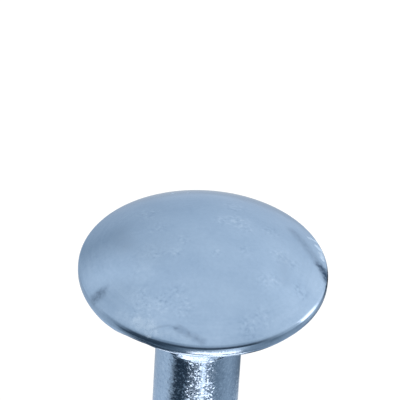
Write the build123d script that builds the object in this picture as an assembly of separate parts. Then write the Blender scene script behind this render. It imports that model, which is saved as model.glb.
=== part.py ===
from build123d import *
import math
import os

# Carriage bolt M8 x 40: a cup-head, square-neck bolt, cold headed from one piece of steel.
# The fine helix of the thread is left off: the threaded stretch has its crest diameter.
# Millimetres. The origin is the centre of the flat threaded end, and +Z runs up to the head.

# Head: a shallow dome on a short rounded rim, flat underneath
HEAD_DIAMETER = 20.5
HEAD_HEIGHT = 4.88
DOME_RADIUS = 16.0
RIM_TOP_RADIUS = 0.6
RIM_BOTTOM_RADIUS = 0.6

# Square neck, which keeps the bolt from turning in timber
NECK_WIDTH = 8.0
NECK_LENGTH = 5.9
NECK_CORNER_RADIUS = 1.2
NECK_SHOULDER_ANGLE = 22.0
NECK_TURN = 35.0
NECK_ROOT_FILLET = 0.4
NECK_FOOT_FILLET = 0.6

# Plain shank, as thin as the blank that the thread is rolled on
LENGTH_UNDER_HEAD = 40.0
SHANK_DIAMETER = 7.14

# Threaded stretch, M8 x 1.25, over its crests
THREAD_LENGTH = 22.0
CREST_DIAMETER = 7.9

# Chamfered point at the free end, and the cone on which the crests fade into the shank
POINT_DIAMETER = 6.3
POINT_ANGLE = 45.0
RUN_OUT_ANGLE = 25.0


def cone_height(small_diameter, large_diameter, angle):
    """Height of a cone between two diameters, with its side at an angle to the bolt's axis."""
    return (large_diameter - small_diameter) / 2 / math.tan(math.radians(angle))


def stem():
    """Chamfered point, threaded stretch, run-out and plain shank, turned about the axis."""
    point_height = cone_height(POINT_DIAMETER, CREST_DIAMETER, POINT_ANGLE)
    run_out_height = cone_height(SHANK_DIAMETER, CREST_DIAMETER, RUN_OUT_ANGLE)
    half_section = Polyline(
        (0, 0),
        (POINT_DIAMETER / 2, 0),
        (CREST_DIAMETER / 2, point_height),
        (CREST_DIAMETER / 2, THREAD_LENGTH - run_out_height),
        (SHANK_DIAMETER / 2, THREAD_LENGTH),
        (SHANK_DIAMETER / 2, LENGTH_UNDER_HEAD),
        (0, LENGTH_UNDER_HEAD),
        close=True,
    )
    return revolve(Plane.XZ * make_face(half_section), Axis.Z)


def square_neck():
    """Square neck with rounded corners. A cone at its lower end leads each corner into the shank."""
    cone_bottom = SHANK_DIAMETER / 2
    cone_top = NECK_WIDTH
    cone_rise = cone_height(SHANK_DIAMETER, 2 * cone_top, NECK_SHOULDER_ANGLE)
    outline = RectangleRounded(NECK_WIDTH, NECK_WIDTH, NECK_CORNER_RADIUS)
    bar = extrude(Rot(0, 0, NECK_TURN) * outline, NECK_LENGTH)
    half_section = Polyline(
        (0, 0),
        (cone_bottom, 0),
        (cone_top, cone_rise),
        (cone_top, NECK_LENGTH),
        (0, NECK_LENGTH),
        close=True,
    )
    return bar & revolve(Plane.XZ * make_face(half_section), Axis.Z)


def head():
    """Domed head with its flat underside at height 0."""
    rim_radius = HEAD_DIAMETER / 2
    rim_height = HEAD_HEIGHT - DOME_RADIUS + math.sqrt(DOME_RADIUS**2 - rim_radius**2)
    dome_arc = RadiusArc((rim_radius, rim_height), (0, HEAD_HEIGHT), -DOME_RADIUS)
    straight_sides = Polyline((0, HEAD_HEIGHT), (0, 0), (rim_radius, 0), (rim_radius, rim_height))
    half_section = make_face([dome_arc, straight_sides])
    rim_bottom = half_section.vertices().sort_by(Axis.Y).group_by(Axis.X)[-1][0]
    half_section = fillet(rim_bottom, RIM_BOTTOM_RADIUS)
    rim_top = half_section.vertices().group_by(Axis.X)[-1].sort_by(Axis.Y)[-1]
    half_section = fillet(rim_top, RIM_TOP_RADIUS)
    return revolve(Plane.XZ * half_section, Axis.Z)


def carriage_bolt():
    """The whole bolt, standing on its threaded end."""
    neck = Pos(0, 0, LENGTH_UNDER_HEAD - NECK_LENGTH) * square_neck()
    bolt = stem() + neck + Pos(0, 0, LENGTH_UNDER_HEAD) * head()
    underside_edges = bolt.edges().filter_by_position(Axis.Z, LENGTH_UNDER_HEAD, LENGTH_UNDER_HEAD)
    neck_root_edges = underside_edges.filter_by(lambda edge: abs(edge.center().X) < NECK_WIDTH)
    bolt = fillet(neck_root_edges, NECK_ROOT_FILLET)
    foot_height = LENGTH_UNDER_HEAD - NECK_LENGTH
    neck_foot_edges = bolt.edges().filter_by_position(Axis.Z, foot_height, foot_height)
    return fillet(neck_foot_edges, NECK_FOOT_FILLET)


os.makedirs("parts", exist_ok=True)
export_step(carriage_bolt(), "parts/carriage_bolt.step")
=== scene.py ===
import math

import bmesh
import bpy
import numpy as np
from mathutils import Matrix, Vector, noise


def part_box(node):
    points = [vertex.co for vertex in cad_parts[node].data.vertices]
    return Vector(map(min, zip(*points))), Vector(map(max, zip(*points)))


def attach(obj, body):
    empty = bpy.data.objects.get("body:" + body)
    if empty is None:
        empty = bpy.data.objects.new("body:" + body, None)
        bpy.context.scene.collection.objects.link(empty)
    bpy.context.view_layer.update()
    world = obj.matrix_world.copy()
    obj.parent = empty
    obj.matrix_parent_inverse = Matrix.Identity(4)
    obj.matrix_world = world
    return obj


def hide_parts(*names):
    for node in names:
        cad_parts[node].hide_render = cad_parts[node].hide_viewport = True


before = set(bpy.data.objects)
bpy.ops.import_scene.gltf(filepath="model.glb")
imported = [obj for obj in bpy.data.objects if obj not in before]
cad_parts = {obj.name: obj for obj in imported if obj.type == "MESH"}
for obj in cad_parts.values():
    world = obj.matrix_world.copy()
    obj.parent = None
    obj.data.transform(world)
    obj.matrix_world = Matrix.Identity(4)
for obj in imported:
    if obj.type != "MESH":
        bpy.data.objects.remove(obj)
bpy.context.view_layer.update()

MM = 0.001

# The bolt's sizes, in millimetres. Heights go up from its flat threaded end.
_, HIGH_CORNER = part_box("carriage_bolt")
HEAD_RADIUS = HIGH_CORNER.x / MM
HEAD_TOP = HIGH_CORNER.z / MM
HEAD_HEIGHT = 4.88
UNDERSIDE = HEAD_TOP - HEAD_HEIGHT
DOME_RADIUS = 16.0
RIM_TOP_RADIUS = 0.6
RIM_BOTTOM_RADIUS = 0.6
NECK_WIDTH = 8.0
NECK_LENGTH = 5.9
NECK_CORNER_RADIUS = 1.2
NECK_SHOULDER_ANGLE = math.radians(22)
NECK_TURN = math.radians(35)
NECK_ROOT_FILLET = 0.4
NECK_FOOT_FILLET = 0.6
SHANK_RADIUS = 7.14 / 2
THREAD_LENGTH = 22.0
THREAD_SIZE = 8.0
PITCH = 1.25
RUN_OUT = 1.5 * PITCH
CREST_FLAT = 1 / 8
FLANK_ANGLE = math.radians(30)
CREST_RADIUS = 7.9 / 2
POINT_RADIUS = 6.3 / 2
# The root of a metric thread is 1.2269 pitches narrower than its size
ROOT_RADIUS = (THREAD_SIZE - 1.2269 * PITCH) / 2

# The dome is part of a sphere round DOME_MIDDLE. The rounding of the rim, whose middle is a circle with
# the radius ROUNDING, takes over from it at the angle DOME_EDGE.
DOME_MIDDLE = HEAD_TOP - DOME_RADIUS
ROUNDING = HEAD_RADIUS - RIM_TOP_RADIUS
ROUNDING_HEIGHT = DOME_MIDDLE + math.sqrt((DOME_RADIUS - RIM_TOP_RADIUS) ** 2 - ROUNDING**2)
DOME_EDGE = math.atan2(ROUNDING, ROUNDING_HEIGHT - DOME_MIDDLE)

# Uneven lower edge that cold heading leaves on the rim: (degrees from the front to the right, mm up)
RIM_WAVE = [
    (-180, 0.0), (-75, 0.0), (-50, -0.1), (-42, -0.05), (-35, 0.13), (-24, 0.17), (-20, 0.05), (-15, 0.0),
    (0, -0.08), (30, -0.09), (46, 0.0), (180, 0.0),
]

# Shallow waves that cold heading leaves on the dome: (length, height) in millimetres, and the angle over
# which they fade in from its edge
WIDE_WAVES = (5.0, 0.03)
FINE_WAVES = (1.7, 0.008)
WAVES_FADE = 1 / 8

# Scuffed patches on the dome, in millimetres: (across, back, size), seen from above
SCUFFS = [
    (-1.4, -7.5, 0.75), (-1.9, -6.0, 0.65), (-3.2, -6.9, 0.75), (-4.6, -7.3, 0.75), (-4.8, -5.9, 0.55),
    (6.2, -1.0, 0.8), (7.2, -1.3, 0.55), (4.9, -4.1, 0.55), (5.9, -3.6, 0.55), (2.5, 2.3, 0.8),
    (3.2, 1.4, 0.55), (1.3, 2.0, 0.55), (5.3, 1.9, 0.65), (-3.8, -2.2, 0.55), (-2.2, -2.4, 0.5),
    (-1.8, -1.0, 0.5), (-3.9, 0.9, 0.65), (-4.6, 3.5, 0.75), (0.9, -2.2, 0.4), (3.3, -1.4, 0.4),
    (5.0, -7.2, 0.65), (3.9, -8.2, 0.65), (8.0, -3.6, 0.5), (-3.9, -8.9, 0.65), (2.3, 4.6, 0.8),
]
# How far a patch reaches, in sizes, and how scuffed the drawn wire below the head is
SCUFF_REACH = 1.5
WIRE_SCUFFS = 0.7

# Marks on the dome: (points across and back that a line goes through, its width, its strength).
# The dark ones are an arc near the front edge, faint clouds, a smudge at the left, and a painted reflection
# of a dark flag: a wedge that runs down to a dark spot on the right edge and on along that edge.
DARK_MARKS = [
    ([(-3.7, -8.9), (-3.1, -8.7), (-2.5, -8.7), (-1.8, -8.95)], 0.18, 0.14),
    ([(-1.8, -8.95), (-1.0, -9.3), (0.3, -9.8)], 0.5, 0.3),
    ([(-7.1, 1.4), (-6.5, -0.6)], 1.6, 0.1),
    ([(6.55, -1.1), (6.6, -3.3)], 1.1, 0.08),
    ([(-8.6, -5.15), (-8.1, -4.8)], 0.75, 0.4),
    ([(-8.9, -4.8), (-7.7, -4.45)], 0.4, 0.12),
    # Painted reflection of a dark flag: the wedge down the right of the dome, the dark spot at the rim's
    # edge and the dark line below it
    ([(7.2, 3.5), (8.15, 2.3), (8.8, 1.4), (9.4, 0.7)], 0.95, 0.22),
    ([(9.45, 0.45), (9.9, 0.1)], 0.75, 0.75),
    ([(10.05, -0.1), (10.15, -0.5)], 1.0, 0.9),
    ([(10.15, -0.5), (10.1, -1.5), (10.0, -2.4)], 0.45, 0.6),
]
# The bright ones are lighter patches under the arc, faint clouds, painted highlights for glints near the
# edge, which are made rough as well, and small specks.
BRIGHT_MARKS = [
    ([(-3.4, -9.25), (-2.3, -9.3), (-0.9, -9.75)], 0.6, 0.12),
    ([(-4.9, -8.1), (-4.0, -8.7)], 1.1, 0.35),
    ([(-5.6, -6.3), (-3.3, -7.3)], 1.2, 0.1),
    ([(-6.5, -7.2), (-5.4, -8.0)], 0.9, 0.15),
    ([(-4.6, -2.3), (-4.8, -3.9)], 1.8, 0.1),
    # Painted highlights: glints along the right edge
    ([(8.5, 3.9), (8.75, 4.05), (9.25, 4.05)], 0.3, 0.9),
    ([(9.2, 3.2), (9.6, 2.9)], 0.4, 1.0),
    ([(9.55, 2.3), (9.75, 1.7)], 0.4, 1.0),
    # Painted highlight: a glint on the front edge
    ([(-4.05, -9.3), (-3.95, -9.33)], 0.2, 1.0),
    ([(-2.95, 7.9), (-2.8, 7.85)], 0.16, 0.8),
    ([(-1.7, 7.7), (-1.55, 7.7)], 0.16, 0.8),
]

# How finely the surface is divided: columns round the bolt, those of them that turn each corner of the
# neck, and rows in each turn of the thread
COLUMNS = 192
CORNER_COLUMNS = 24
ROWS_PER_TURN = 16

# Points this close are merged, in millimetres, and edges this steep look sharp
MERGE_DISTANCE = 0.002
SHARP_ANGLE = math.radians(38)


def hex_colour(code):
    """Linear colour from an sRGB hex code."""
    parts = [int(code[i : i + 2], 16) / 255 for i in (1, 3, 5)]
    return [c / 12.92 if c <= 0.04045 else ((c + 0.055) / 1.055) ** 2.4 for c in parts] + [1.0]


def add(tree, kind, inputs=None, **settings):
    """Adds a node. Inputs are set by name or number, each from a value, a node or a socket."""
    made = tree.nodes.new(kind)
    for name, value in settings.items():
        setattr(made, name, value)
    for key, value in (inputs or {}).items():
        if isinstance(value, bpy.types.Node):
            value = value.outputs[0]
        if isinstance(value, bpy.types.NodeSocket):
            tree.links.new(value, made.inputs[key])
        else:
            made.inputs[key].default_value = value
    return made


# ---------------------------------------------------------------- rolled thread

def thread_form(tree, size, helix):
    """Radius of the thread at a place up the helix: a crest's flat, a root, and flanks between them."""
    phase = add(tree, "ShaderNodeMath", {0: helix}, operation="FRACT")
    from_middle = add(tree, "ShaderNodeMath", {0: phase, 1: 0.5}, operation="SUBTRACT")
    off_crest = add(tree, "ShaderNodeMath", {0: from_middle}, operation="ABSOLUTE")
    off_flat = add(tree, "ShaderNodeMath", {0: off_crest, 1: CREST_FLAT / 2}, operation="SUBTRACT")
    fall = -1 / math.tan(FLANK_ANGLE)
    slope = add(tree, "ShaderNodeMath", {0: size["Pitch"], 1: fall}, operation="MULTIPLY")
    flank = add(
        tree, "ShaderNodeMath", {0: off_flat, 1: slope, 2: size["Thread Radius"]}, operation="MULTIPLY_ADD"
    )
    return add(
        tree, "ShaderNodeClamp", {"Value": flank, "Min": size["Root Radius"], "Max": size["Crest Radius"]}
    )


def thread_tree():
    """Node tree that rolls a helical thread out of a grid wrapped round the axis."""
    tree = bpy.data.node_groups.new("rolled_thread", "GeometryNodeTree")
    for name, kind in (
        ("Turns", "NodeSocketInt"),
        ("Pitch", "NodeSocketFloat"),
        ("Thread Radius", "NodeSocketFloat"),
        ("Crest Radius", "NodeSocketFloat"),
        ("Root Radius", "NodeSocketFloat"),
        ("Point Radius", "NodeSocketFloat"),
        ("Shank Radius", "NodeSocketFloat"),
        ("Length", "NodeSocketFloat"),
        ("Run-out", "NodeSocketFloat"),
        ("Finish", "NodeSocketMaterial"),
    ):
        tree.interface.new_socket(name, in_out="INPUT", socket_type=kind)
    tree.interface.new_socket("Geometry", in_out="OUTPUT", socket_type="NodeSocketGeometry")
    size = add(tree, "NodeGroupInput").outputs

    # The grid's X runs up the helix in turns, from one turn below the end, and its Y runs round once
    rows = add(tree, "ShaderNodeMath", {0: size["Turns"], 1: ROWS_PER_TURN, 2: 1}, operation="MULTIPLY_ADD")
    grid = add(
        tree,
        "GeometryNodeMeshGrid",
        {"Size X": size["Turns"], "Size Y": 1.0, "Vertices X": rows, "Vertices Y": COLUMNS + 1},
    )
    place = add(tree, "ShaderNodeSeparateXYZ", {0: add(tree, "GeometryNodeInputPosition")}).outputs
    half = add(tree, "ShaderNodeMath", {0: size["Turns"], 1: 0.5, 2: -1}, operation="MULTIPLY_ADD")
    helix = add(tree, "ShaderNodeMath", {0: place["X"], 1: half}, operation="ADD")
    round_once = add(tree, "ShaderNodeMath", {0: place["Y"], 1: 0.5}, operation="ADD")
    climb = add(tree, "ShaderNodeMath", {0: helix, 1: round_once}, operation="ADD")
    rise = add(tree, "ShaderNodeMath", {0: climb, 1: size["Pitch"]}, operation="MULTIPLY")
    height = add(tree, "ShaderNodeClamp", {"Value": rise, "Min": 0.0, "Max": size["Length"]})

    # The form fades into the shank along the run-out, and the chamfered point cuts its first turn
    form = thread_form(tree, size, helix)
    fade_start = add(tree, "ShaderNodeMath", {0: size["Length"], 1: size["Run-out"]}, operation="SUBTRACT")
    faded = add(
        tree,
        "ShaderNodeMapRange",
        {"Value": height, "From Min": fade_start, "From Max": size["Length"], "To Min": 0.0, "To Max": 1.0},
        interpolation_type="SMOOTHSTEP",
    )
    radius = add(
        tree, "ShaderNodeMix", {"Factor": faded, "A": form, "B": size["Shank Radius"]}, data_type="FLOAT"
    )
    point = add(tree, "ShaderNodeMath", {0: size["Point Radius"], 1: height}, operation="ADD")
    radius = add(tree, "ShaderNodeMath", {0: radius.outputs["Result"], 1: point}, operation="MINIMUM")

    angle = add(tree, "ShaderNodeMath", {0: round_once, 1: math.tau}, operation="MULTIPLY")
    east = add(
        tree,
        "ShaderNodeMath",
        {0: radius, 1: add(tree, "ShaderNodeMath", {0: angle}, operation="COSINE")},
        operation="MULTIPLY",
    )
    north = add(
        tree,
        "ShaderNodeMath",
        {0: radius, 1: add(tree, "ShaderNodeMath", {0: angle}, operation="SINE")},
        operation="MULTIPLY",
    )
    position = add(tree, "ShaderNodeCombineXYZ", {"X": east, "Y": north, "Z": height})
    rolled = add(tree, "GeometryNodeSetPosition", {"Geometry": grid, "Position": position})
    real = add(tree, "GeometryNodeRealizeInstances", {"Geometry": rolled})
    finished = add(tree, "GeometryNodeSetMaterial", {"Geometry": real, "Material": size["Finish"]})
    add(tree, "NodeGroupOutput", {"Geometry": finished})
    return tree


def threaded_stretch(finish):
    """Plain mesh of the thread, from the flat end up to the shank."""
    holder = bpy.data.objects.new("thread_holder", bpy.data.meshes.new("thread_holder"))
    bpy.context.scene.collection.objects.link(holder)
    tree = thread_tree()
    modifier = holder.modifiers.new("rolled_thread", "NODES")
    modifier.node_group = tree
    sizes = {
        "Turns": math.ceil(THREAD_LENGTH / PITCH) + 1,
        "Pitch": PITCH * MM,
        "Thread Radius": THREAD_SIZE / 2 * MM,
        "Crest Radius": CREST_RADIUS * MM,
        "Root Radius": ROOT_RADIUS * MM,
        "Point Radius": POINT_RADIUS * MM,
        "Shank Radius": SHANK_RADIUS * MM,
        "Length": THREAD_LENGTH * MM,
        "Run-out": RUN_OUT * MM,
        "Finish": finish,
    }
    for socket in tree.interface.items_tree:
        if socket.name in sizes:
            modifier[socket.identifier] = sizes[socket.name]
    bpy.context.view_layer.update()
    evaluated = holder.evaluated_get(bpy.context.evaluated_depsgraph_get())
    mesh = bpy.data.meshes.new_from_object(evaluated)
    bpy.data.objects.remove(holder)
    return mesh


# ---------------------------------------------------------------- shank, neck and head

EVEN_ANGLES = np.arange(COLUMNS) / COLUMNS * math.tau


def ring(radius, height, angles=EVEN_ANGLES):
    """Points of a level circle round the axis."""
    heights = np.full(COLUMNS, height)
    return np.stack([radius * np.cos(angles), radius * np.sin(angles), heights], axis=1)


def neck_outline():
    """Rounded square of the neck: its points and its outward directions, one for each column."""
    reach = NECK_WIDTH / 2 - NECK_CORNER_RADIUS
    flat_columns = COLUMNS // 4 - CORNER_COLUMNS
    points, outward = [], []
    for quarter in range(4):
        turn = NECK_TURN + quarter * math.pi / 2
        side = [(NECK_WIDTH / 2, along, 0.0) for along in np.linspace(-reach, reach, flat_columns + 1)[:-1]]
        corner = [
            (
                reach + NECK_CORNER_RADIUS * math.cos(bend),
                reach + NECK_CORNER_RADIUS * math.sin(bend),
                bend,
            )
            for bend in np.linspace(0, math.pi / 2, CORNER_COLUMNS + 1)[:-1]
        ]
        for x, y, bend in side + corner:
            points.append(
                (x * math.cos(turn) - y * math.sin(turn), x * math.sin(turn) + y * math.cos(turn))
            )
            outward.append((math.cos(turn + bend), math.sin(turn + bend)))
    return np.array(points), np.array(outward)


def shank_rings():
    """Plain shank, from the thread up to the neck. Its columns drift over to the neck's columns."""
    points, _ = neck_outline()
    neck_angles = np.unwrap(np.arctan2(points[:, 1], points[:, 0]))
    drift = neck_angles - EVEN_ANGLES
    top = UNDERSIDE - NECK_LENGTH - NECK_FOOT_FILLET * math.tan(NECK_SHOULDER_ANGLE / 2)
    rings = []
    for share in np.linspace(0, 1, 25):
        height = THREAD_LENGTH + share * (top - THREAD_LENGTH)
        rings.append(ring(SHANK_RADIUS, height, EVEN_ANGLES + drift * share))
    for bend in np.linspace(0, NECK_SHOULDER_ANGLE, 9)[1:]:
        radius = SHANK_RADIUS + NECK_FOOT_FILLET * (1 - math.cos(bend))
        rings.append(ring(radius, top + NECK_FOOT_FILLET * math.sin(bend), neck_angles))
    return rings


def neck_rings():
    """Square neck, from its conical shoulder up to the fillet under the head."""
    points, outward = neck_outline()
    reach = np.linalg.norm(points, axis=1)
    directions = points / reach[:, None]
    foot_radius = SHANK_RADIUS + NECK_FOOT_FILLET * (1 - math.cos(NECK_SHOULDER_ANGLE))
    foot = UNDERSIDE - NECK_LENGTH + (foot_radius - SHANK_RADIUS) / math.tan(NECK_SHOULDER_ANGLE)
    shoulder = foot + (reach - foot_radius) / math.tan(NECK_SHOULDER_ANGLE)
    top = UNDERSIDE - NECK_ROOT_FILLET
    rings = []
    for share in np.linspace(0, 1, 13)[1:]:
        radius = foot_radius + share * (reach - foot_radius)
        height = foot + share * (shoulder - foot)
        rings.append(np.column_stack([directions * radius[:, None], height]))
    for share in np.linspace(0, 1, 9)[1:]:
        rings.append(np.column_stack([points, shoulder + share * (top - shoulder)]))
    for bend in np.linspace(0, math.pi / 2, 9)[1:]:
        out = NECK_ROOT_FILLET * (1 - math.cos(bend))
        height = np.full(COLUMNS, top + NECK_ROOT_FILLET * math.sin(bend))
        rings.append(np.column_stack([points + outward * out, height]))
    return rings


def head_height(radius):
    """Height of the head's top side, on the dome or on the rounding of its rim."""
    if radius < DOME_RADIUS * math.sin(DOME_EDGE):
        return DOME_MIDDLE + math.sqrt(DOME_RADIUS**2 - radius**2)
    return ROUNDING_HEIGHT + math.sqrt(max(0, RIM_TOP_RADIUS**2 - (radius - ROUNDING) ** 2))


def head_rings():
    """Underside, rim and dome, from the neck's root out and up to the middle of the dome."""
    points, outward = neck_outline()
    root = points + outward * NECK_ROOT_FILLET
    edge = ring(HEAD_RADIUS - RIM_BOTTOM_RADIUS, UNDERSIDE)[:, :2]
    rings = []
    for share in np.linspace(0, 1, 9)[1:]:
        level = np.full(COLUMNS, UNDERSIDE)
        rings.append(np.column_stack([root + (edge - root) * share, level]))
    rings[-1][:, 2] += rim_wave(EVEN_ANGLES)
    for bend in np.linspace(0, math.pi / 2, 11)[1:]:
        radius = HEAD_RADIUS - RIM_BOTTOM_RADIUS * (1 - math.sin(bend))
        points = ring(radius, UNDERSIDE + RIM_BOTTOM_RADIUS * (1 - math.cos(bend)))
        points[:, 2] += rim_wave(EVEN_ANGLES)
        rings.append(points)
    for bend in np.linspace(math.pi / 2, DOME_EDGE, 15):
        radius = ROUNDING + RIM_TOP_RADIUS * math.sin(bend)
        rings.append(ring(radius, ROUNDING_HEIGHT + RIM_TOP_RADIUS * math.cos(bend)))
    for bend in np.linspace(DOME_EDGE, 0, 61)[1:-1]:
        fade = min(1, (DOME_EDGE - bend) / WAVES_FADE)
        points = ring(DOME_RADIUS * math.sin(bend), DOME_MIDDLE + DOME_RADIUS * math.cos(bend))
        points[:, 2] += [fade * forged_wave(point) for point in points]
        rings.append(points)
    return rings


def rim_wave(angles):
    """Height of the uneven lower edge of the rim above the underside, in millimetres."""
    from_front = (np.degrees(angles) + 270) % 360 - 180
    return np.interp(from_front, *zip(*RIM_WAVE))


def forged_wave(point):
    """Height of the shallow waves on the dome, in millimetres. They stay under the true dome."""
    (wide_length, wide_height), (fine_length, fine_height) = WIDE_WAVES, FINE_WAVES
    wide = noise.noise(Vector(point) / wide_length)
    fine = noise.noise(Vector(point) / fine_length + Vector((7, 3, 1)))
    return wide_height * wide + fine_height * fine - wide_height


def scuffed(points):
    """How scuffed the plating is at each point, from 0 to 1. Below the head it is evenly coarse."""
    smooth = np.ones(len(points))
    for x, y, size in SCUFFS:
        near = 1 - np.hypot(points[:, 0] - x, points[:, 1] - y) / (SCUFF_REACH * size)
        smooth *= 1 - np.clip(near, 0, 1) ** 0.7
    return np.where(points[:, 2] > UNDERSIDE + 0.5, 1 - smooth, WIRE_SCUFFS)


def bolt_mesh(finish):
    """The whole bolt as one closed surface: rolled thread, shank, neck and head."""
    mesh = threaded_stretch(finish)
    work = bmesh.new()
    work.from_mesh(mesh)
    rings = shank_rings() + neck_rings() + head_rings()
    verts = [[work.verts.new(Vector(p) * MM) for p in points] for points in rings]
    for lower, upper in zip(verts, verts[1:]):
        for i in range(COLUMNS):
            j = (i + 1) % COLUMNS
            work.faces.new((lower[i], lower[j], upper[j], upper[i]))
    crown = work.verts.new((0, 0, (HEAD_TOP + forged_wave((0, 0, HEAD_TOP))) * MM))
    end_middle = work.verts.new((0, 0, 0))
    end_edge = [work.verts.new(Vector(p) * MM) for p in ring(POINT_RADIUS, 0.0)]
    for i in range(COLUMNS):
        j = (i + 1) % COLUMNS
        work.faces.new((verts[-1][i], verts[-1][j], crown))
        work.faces.new((end_edge[j], end_edge[i], end_middle))
    bmesh.ops.remove_doubles(work, verts=work.verts, dist=MERGE_DISTANCE * MM)
    bmesh.ops.recalc_face_normals(work, faces=work.faces)
    for face in work.faces:
        face.smooth = True
        face.material_index = 0
    work.to_mesh(mesh)
    work.free()
    mesh.materials.clear()
    mesh.materials.append(finish)
    places = np.empty(3 * len(mesh.vertices))
    mesh.vertices.foreach_get("co", places)
    scuffs = mesh.attributes.new("scuffed", "FLOAT", "POINT")
    scuffs.data.foreach_set("value", scuffed(places.reshape(-1, 3) / MM))
    mesh.set_sharp_from_angle(angle=SHARP_ANGLE)
    return mesh


# ---------------------------------------------------------------- finish

# Tint of the zinc, from its darkest patches to its palest: (place on the ramp, colour)
TINTS = [(0.2, "#829CB9"), (0.42, "#98B2CF"), (0.58, "#A2BBD7"), (0.8, "#B9CFE6")]
# Colour of the dark marks, painted shade where they stand for the reflected dark flag on the right, and of
# the bright marks, painted highlight where they stand for glints near the edge
DARK_MARK_AND_PAINTED_SHADE = "#28425E"
PALE_MARK_AND_PAINTED_HIGHLIGHT = "#D0E5FA"
GLANCING_TINT = "#E6EDF6"
PLATING_ROUGHNESS = 0.14
BRIGHT_MARK_ROUGHNESS = 0.5

# Widths of what the finish shows, in millimetres. The pits, die lines and crystals of real plating are
# too fine to show, so they are drawn two or three times as coarse.
CLOUDS = 3.0
PITS = 0.3
DIE_LINES = 0.3
CRYSTALS = 0.13
RAGGED_EDGES = 0.4
RAGGED_DEPTH = 0.35


def near_line(tree, place, line):
    """A mark's strength at a place: full on its line over the dome, and none at its width."""
    points, width, strength = line
    corners = [Vector((x, y, head_height(math.hypot(x, y)))) * MM for x, y in points]
    distance = None
    for start, end in zip(corners, corners[1:]):
        along = end - start
        away = add(tree, "ShaderNodeVectorMath", {0: place, 1: start}, operation="SUBTRACT")
        part = along / along.length_squared
        share = add(tree, "ShaderNodeVectorMath", {0: away, 1: part}, operation="DOT_PRODUCT")
        share = add(tree, "ShaderNodeClamp", {"Value": share.outputs["Value"]})
        nearest = add(tree, "ShaderNodeVectorMath", {0: along, "Scale": share}, operation="SCALE")
        gap = add(tree, "ShaderNodeVectorMath", {0: away, 1: nearest}, operation="DISTANCE")
        gap = gap.outputs["Value"]
        if distance:
            gap = add(tree, "ShaderNodeMath", {0: gap, 1: distance}, operation="MINIMUM")
        distance = gap
    return add(
        tree,
        "ShaderNodeMapRange",
        {"Value": distance, "From Min": 0.0, "From Max": width * MM, "To Min": strength, "To Max": 0.0},
        interpolation_type="SMOOTHSTEP",
    )


def cloudy_tint(tree, place, pits):
    """Tint of the passivation: clouds that fine pits break up, most of all where it is scuffed."""
    clouds = add(tree, "ShaderNodeTexNoise", {"Vector": place, "Scale": 1 / (CLOUDS * MM), "Detail": 4.0})
    clouds = add(tree, "ShaderNodeMath", {0: clouds, 1: 0.4, 2: 0.3}, operation="MULTIPLY_ADD")
    scuffs = add(tree, "ShaderNodeAttribute", attribute_name="scuffed").outputs["Fac"]
    depth = add(tree, "ShaderNodeMath", {0: scuffs, 1: 0.7, 2: 0.2}, operation="MULTIPLY_ADD")
    pitted = add(tree, "ShaderNodeMath", {0: pits, 1: 0.5}, operation="SUBTRACT")
    pitted = add(tree, "ShaderNodeMath", {0: pitted, 1: depth, 2: clouds}, operation="MULTIPLY_ADD")

    # Faint lines that the heading die leaves round the outer part of the dome
    spot = add(tree, "ShaderNodeSeparateXYZ", {0: place}).outputs
    across = add(tree, "ShaderNodeCombineXYZ", {"X": spot["X"], "Y": spot["Y"]})
    radius = add(tree, "ShaderNodeVectorMath", {0: across}, operation="LENGTH").outputs["Value"]
    turn = add(tree, "ShaderNodeMath", {0: spot["Y"], 1: spot["X"]}, operation="ARCTAN2")
    ringed = add(tree, "ShaderNodeMath", {0: radius, 1: 1 / (DIE_LINES * MM)}, operation="MULTIPLY")
    along = add(tree, "ShaderNodeMath", {0: turn, 1: 3.0}, operation="MULTIPLY")
    die_lines = add(tree, "ShaderNodeCombineXYZ", {"X": ringed, "Y": along})
    die_lines = add(tree, "ShaderNodeTexNoise", {"Vector": die_lines, "Scale": 1.0, "Detail": 2.0})
    die_lines = add(tree, "ShaderNodeMath", {0: die_lines, 1: 0.5}, operation="SUBTRACT")
    outer = add(
        tree,
        "ShaderNodeMapRange",
        {"Value": radius, "From Min": 6.0 * MM, "From Max": 8.5 * MM, "To Max": 0.2},
    )
    pitted = add(tree, "ShaderNodeMath", {0: die_lines, 1: outer, 2: pitted}, operation="MULTIPLY_ADD")

    tint = add(tree, "ShaderNodeValToRGB", {"Fac": pitted})
    stops = tint.color_ramp.elements
    while len(stops) < len(TINTS):
        stops.new(0.5)
    for stop, (position, code) in zip(stops, TINTS):
        stop.position = position
        stop.color = hex_colour(code)
    return tint.outputs[0]


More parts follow.
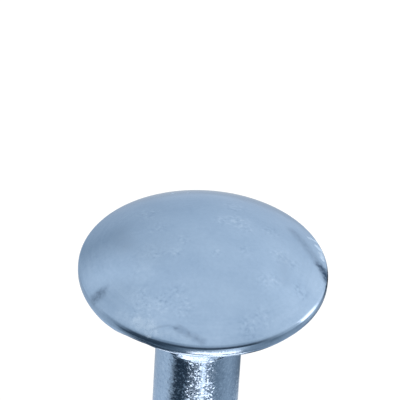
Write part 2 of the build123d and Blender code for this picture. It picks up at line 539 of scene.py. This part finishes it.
def marks_and_painted_light(tree, place, pits, tint):
    """Tint and roughness with dark and bright marks on the plating, ragged and blotchy, some of them
    painted shade and painted highlights.

    The bright ones are made rough as well, so they scatter light and don't mirror the dark floor.
    """
    edges = {"Vector": place, "Scale": 1 / (RAGGED_EDGES * MM), "Detail": 2.0}
    ragged = add(tree, "ShaderNodeTexNoise", edges).outputs["Color"]
    ragged = add(tree, "ShaderNodeVectorMath", {0: ragged, 1: (0.5, 0.5, 0.5)}, operation="SUBTRACT")
    ragged = add(tree, "ShaderNodeVectorMath", {0: ragged, "Scale": RAGGED_DEPTH * MM}, operation="SCALE")
    moved = add(tree, "ShaderNodeVectorMath", {0: place, 1: ragged}, operation="ADD")
    blotches = add(tree, "ShaderNodeMath", {0: pits, 1: 2.4, 2: -0.2}, operation="MULTIPLY_ADD")
    bright_marks_mask = 0.0
    # Dark marks darken the tint and bright ones lighten it: painted shade for the reflected dark flag on
    # the right, painted highlights for the glints near the edge
    for lines, colour in ((DARK_MARKS, hex_colour(DARK_MARK_AND_PAINTED_SHADE)), (BRIGHT_MARKS, hex_colour(PALE_MARK_AND_PAINTED_HIGHLIGHT))):
        for line in lines:
            mark = near_line(tree, moved, line)
            mark = add(tree, "ShaderNodeMath", {0: mark, 1: blotches}, operation="MULTIPLY")
            tint = add(tree, "ShaderNodeMix", {"Factor": mark, 6: tint, 7: colour}, data_type="RGBA")
            tint = tint.outputs[2]
            if lines is BRIGHT_MARKS:
                bright_marks_mask = add(tree, "ShaderNodeMath", {0: mark, 1: bright_marks_mask}, operation="MAXIMUM")
    roughness = add(
        tree,
        "ShaderNodeMath",
        {0: bright_marks_mask, 1: BRIGHT_MARK_ROUGHNESS, 2: PLATING_ROUGHNESS},
        operation="MULTIPLY_ADD",
    )
    return tint, roughness


def crystal_facets(tree, place):
    """Normal that leans with each crystal under the zinc, a lot below the head and a little on it."""
    crystals = add(tree, "ShaderNodeTexVoronoi", {"Vector": place, "Scale": 1 / (CRYSTALS * MM)})
    height = add(tree, "ShaderNodeSeparateXYZ", {0: place}).outputs["Z"]
    below_head = add(
        tree,
        "ShaderNodeMapRange",
        {
            "Value": height,
            "From Min": (UNDERSIDE - 0.2) * MM,
            "From Max": (UNDERSIDE + 0.5) * MM,
            "To Min": 0.35,
            "To Max": 0.05,
        },
    )
    lean = crystals.outputs["Color"]
    lean = add(tree, "ShaderNodeVectorMath", {0: lean, 1: (0.5, 0.5, 0.5)}, operation="SUBTRACT")
    squared = add(tree, "ShaderNodeVectorMath", {0: lean, 1: lean}, operation="DOT_PRODUCT")
    squared = squared.outputs["Value"]
    steepness = add(tree, "ShaderNodeMath", {0: squared, 1: below_head}, operation="MULTIPLY")
    lean = add(tree, "ShaderNodeVectorMath", {0: lean, "Scale": steepness}, operation="SCALE")
    normal = add(tree, "ShaderNodeNewGeometry").outputs["Normal"]
    facet = add(tree, "ShaderNodeVectorMath", {0: normal, 1: lean}, operation="ADD")
    return add(tree, "ShaderNodeVectorMath", {0: facet}, operation="NORMALIZE")


def zinc_plating():
    """Bright blue-passivated zinc, electroplated over cold-headed steel.

    It gives the eye a cool blue mirror with soft edges on the dome, where the plating lies smooth, and
    sparkling facets on the shank and neck, where it follows the crystals of the drawn wire. Its tint also
    carries painted shade for a dark flag's reflection on the right of the dome, and painted highlights for
    glints near its edge.
    """
    material = bpy.data.materials.new("bright_blue_passivated_zinc")
    material.use_nodes = True
    tree = material.node_tree
    tree.nodes.clear()
    place = add(tree, "ShaderNodeTexCoord").outputs["Object"]
    pits = add(tree, "ShaderNodeTexNoise", {"Vector": place, "Scale": 1 / (PITS * MM), "Detail": 3.0})
    tint, roughness = marks_and_painted_light(tree, place, pits, cloudy_tint(tree, place, pits))
    shader = add(
        tree,
        "ShaderNodeBsdfPrincipled",
        {
            "Base Color": tint,
            "Metallic": 1.0,
            "Roughness": roughness,
            "Specular Tint": hex_colour(GLANCING_TINT),
            "Normal": crystal_facets(tree, place),
        },
    )
    add(tree, "ShaderNodeOutputMaterial", {"Surface": shader})
    return material


# ---------------------------------------------------------------- studio

# Light levels that the metal mirrors, by direction: (degrees from the front to the right, level). The
# white wall has level 1, and no level is above BRIGHTEST.
BRIGHTEST = 10.0

# At the horizon: a black flag in front, a strip light at the right, the white wall behind, and a grey
# flag at the back left
HORIZON = [
    (-90, 0.75), (-68, 0.45), (-55, 0.1), (45, 0.1), (75, 0.7), (91, 0.9),
    (93, 2.8), (108, 2.8), (115, 1.3), (150, 1.0),
    (185, 0.85), (215, 0.6), (245, 0.9), (270, 0.75),
]

# Halfway up the sky: greyer in front, and a white card at the back left
HALF_SKY = [
    (-90, 0.9), (-30, 0.5), (0, 0.7), (45, 0.65), (75, 1.0), (120, 1.15), (180, 0.95), (215, 0.8),
    (233, 1.05), (250, 0.8), (270, 0.9),
]

# The floor further out: a dark mat at the front left, a white card at the front right, grey mats next
# to it, and a dark gap at the back right
FAR_FLOOR = [
    (-90, 0.7), (-76, 0.65), (-66, 0.15), (-50, 0.08), (-32, 0.08), (-20, 0.2), (5, 0.5), (30, 1.2),
    (45, 0.5), (65, 0.3), (80, 0.5), (95, 0.5), (108, 1.0),
    (130, 0.4), (134, 0.05), (146, 0.05), (149, 0.7), (270, 0.7),
]

# The floor in a ring about as far out as the bolt is high: a dark mat at the front left, a narrow white
# card in front, and grey mats round the right and the back
RING_OF_FLOOR = [
    (-90, 0.9), (-78, 0.9), (-55, 0.05), (-30, 0.05), (10, 0.25),
    (14, 1.8), (20, 1.8),
    (23, 0.3), (50, 0.35), (90, 0.6), (150, 0.25), (170, 0.6), (270, 0.9),
]

# A narrow ring outside that one, with a long white card in front that lights the rim's lower edge
LONG_CARD = [
    (-90, 0.7), (-45, 0.3), (-10, 0.3), (-3, 4.0), (32, 4.0), (38, 0.5), (180, 0.7), (270, 0.7),
]

# The floor nearer by, with a white card in front that lights the foot of the neck
NEAR_FLOOR = [
    (-90, 0.9), (-50, 0.1), (-25, 0.5), (-14, 3.0), (44, 3.0), (54, 0.6), (110, 0.7), (270, 0.9),
]

# The floor close to the foot of the bolt, bright in front
FOOT_OF_BOLT = [
    (-90, 1.4), (-65, 4.0), (-30, 2.6), (50, 2.8), (58, 0.9), (90, 1.2), (270, 1.4),
]

# A black mat right round the bolt, between its foot and the white card
BLACK_MAT = [(-90, 0.1), (270, 0.1)]

# Rings of the floor, each with how far from the axis it starts to show and shows in full, in millimetres.
# Inside them, and in the world far below the horizon, the level is plain.
FLOOR_RINGS = [
    (4, 5, FOOT_OF_BOLT),
    (13, 15, BLACK_MAT),
    (20, 22, NEAR_FLOOR),
    (35, 37, RING_OF_FLOOR),
    (50.5, 52.5, LONG_CARD),
    (55, 58, FAR_FLOOR),
    (110, 220, HORIZON),
]
PLAIN_LEVEL = 0.7
FLOOR_REACH = 1000.0


def cool_shade(level):
    """Colour of a light level: dark flags are a little blue, bright cards a little warm."""
    return (level**1.13, level, level**0.91, 1.0)


def round_the_bolt(tree, direction, levels):
    """Light that changes with the direction round the bolt."""
    turn = add(tree, "ShaderNodeTexGradient", {"Vector": direction}, gradient_type="RADIAL")
    ramp = add(tree, "ShaderNodeValToRGB", {"Fac": turn.outputs["Fac"]})
    stops = ramp.color_ramp.elements
    while len(stops) < len(levels):
        stops.new(0.5)
    for stop, (azimuth, level) in zip(stops, levels):
        stop.position = (azimuth + 90) / 360
        *shade, opaque = cool_shade(level)
        stop.color = [part / BRIGHTEST for part in shade] + [opaque]
    return add(tree, "ShaderNodeVectorMath", {0: ramp, "Scale": BRIGHTEST}, operation="SCALE")


def blend(tree, near, far, value, start, end):
    """Goes smoothly from one light to another as a value rises from start to end."""
    share = add(
        tree,
        "ShaderNodeMapRange",
        {"Value": value, "From Min": start, "From Max": end},
        interpolation_type="SMOOTHSTEP",
    )
    mix = add(tree, "ShaderNodeMix", {"Factor": share, 6: near, 7: far}, data_type="RGBA")
    return mix.outputs[2]


def up(degrees):
    """Height of a direction that points so many degrees above the horizon."""
    return math.sin(math.radians(degrees))


def studio_world():
    """White world, in which reflections see the flags and the strip light low round the bolt."""
    world = bpy.data.worlds.new("studio")
    bpy.context.scene.world = world
    world.use_nodes = True
    tree = world.node_tree
    tree.nodes.clear()
    direction = add(tree, "ShaderNodeTexCoord").outputs["Generated"]
    height = add(tree, "ShaderNodeSeparateXYZ", {0: direction}).outputs["Z"]
    horizon = round_the_bolt(tree, direction, HORIZON)
    halfway = round_the_bolt(tree, direction, HALF_SKY)
    white = cool_shade(1.0)
    mirrored = blend(tree, horizon, halfway, height, up(5), up(35))
    mirrored = blend(tree, mirrored, white, height, up(40), up(72))
    mirrored = blend(tree, cool_shade(PLAIN_LEVEL), mirrored, height, up(-50), up(-15))
    light_path = add(tree, "ShaderNodeLightPath").outputs
    light = blend(tree, white, mirrored, light_path["Is Glossy Ray"], 0.0, 1.0)
    background = add(tree, "ShaderNodeBackground", {"Color": light, "Strength": 1.0})
    add(tree, "ShaderNodeOutputWorld", {"Surface": background})


def pale_sweep():
    """Pale matt floor from above, with the mats and cards that reflections see, and clear from below."""
    material = bpy.data.materials.new("pale_sweep")
    material.use_nodes = True
    tree = material.node_tree
    tree.nodes.clear()
    place = add(tree, "ShaderNodeTexCoord").outputs["Object"]
    distance = add(tree, "ShaderNodeVectorMath", {0: place}, operation="LENGTH").outputs["Value"]
    level = cool_shade(PLAIN_LEVEL)
    for start, end, levels in FLOOR_RINGS:
        mirrored = round_the_bolt(tree, place, levels)
        level = blend(tree, level, mirrored, distance, start * MM, end * MM)
    mats = add(tree, "ShaderNodeEmission", {"Color": level, "Strength": 1.0})
    pale = add(tree, "ShaderNodeBsdfDiffuse", {"Color": hex_colour("#F2F2F2")})
    lift = add(tree, "ShaderNodeEmission", {"Color": (1, 1, 1, 1), "Strength": 0.2})
    seen_floor = add(tree, "ShaderNodeAddShader", {0: pale, 1: lift})
    light_path = add(tree, "ShaderNodeLightPath").outputs
    surface = add(tree, "ShaderNodeMixShader", {0: light_path["Is Camera Ray"], 1: pale, 2: seen_floor})
    surface = add(tree, "ShaderNodeMixShader", {0: light_path["Is Glossy Ray"], 1: surface, 2: mats})
    from_below = add(tree, "ShaderNodeNewGeometry").outputs["Backfacing"]
    clear = add(tree, "ShaderNodeBsdfTransparent")
    surface = add(tree, "ShaderNodeMixShader", {0: from_below, 1: surface, 2: clear})
    add(tree, "ShaderNodeOutputMaterial", {"Surface": surface})
    return material


def studio_floor():
    """Wide level floor that the bolt stands on."""
    reach = FLOOR_REACH * MM
    corners = [(-reach, -reach, 0), (reach, -reach, 0), (reach, reach, 0), (-reach, reach, 0)]
    mesh = bpy.data.meshes.new("floor")
    mesh.from_pydata(corners, [], [(0, 1, 2, 3)])
    mesh.materials.append(pale_sweep())
    floor = bpy.data.objects.new("floor", mesh)
    bpy.context.scene.collection.objects.link(floor)


# ---------------------------------------------------------------- camera

# In millimetres: how far off the camera is, how wide a field it takes in at the head, and how far its aim
# is taken to the left of the middle of the head's underside, and above it
CAMERA_DISTANCE = 400.0
CAMERA_ELEVATION = math.radians(39.25)
CAMERA_ROLL = math.radians(3.5)
FIELD_WIDTH = 32.77
HEAD_ASIDE = 0.225
HEAD_BELOW = 6.45


def long_lens_camera():
    """Long lens that looks down on the head, with the head below the middle of the frame."""
    aim = Vector((0, 0, UNDERSIDE))
    back = Vector((0, -math.cos(CAMERA_ELEVATION), math.sin(CAMERA_ELEVATION)))
    eye = aim + back * CAMERA_DISTANCE
    axes = (-back).to_track_quat("-Z", "Y").to_matrix() @ Matrix.Rotation(CAMERA_ROLL, 3, "Z")
    aim = aim - axes.col[0] * HEAD_ASIDE + axes.col[1] * HEAD_BELOW
    turn = (aim - eye).to_track_quat("-Z", "Y").to_matrix() @ Matrix.Rotation(CAMERA_ROLL, 3, "Z")
    data = bpy.data.cameras.new("camera")
    data.lens = data.sensor_width * CAMERA_DISTANCE / FIELD_WIDTH
    data.clip_start = 0.01
    data.clip_end = 10
    camera = bpy.data.objects.new("camera", data)
    bpy.context.scene.collection.objects.link(camera)
    camera.matrix_world = Matrix.Translation(eye * MM) @ turn.to_4x4()
    bpy.context.scene.camera = camera


finish = zinc_plating()
bolt = bpy.data.objects.new("bolt", bolt_mesh(finish))
bpy.context.scene.collection.objects.link(bolt)
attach(bolt, "root")
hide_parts("carriage_bolt")

studio_world()
studio_floor()
long_lens_camera()
bpy.context.scene.view_settings.view_transform = "Standard"
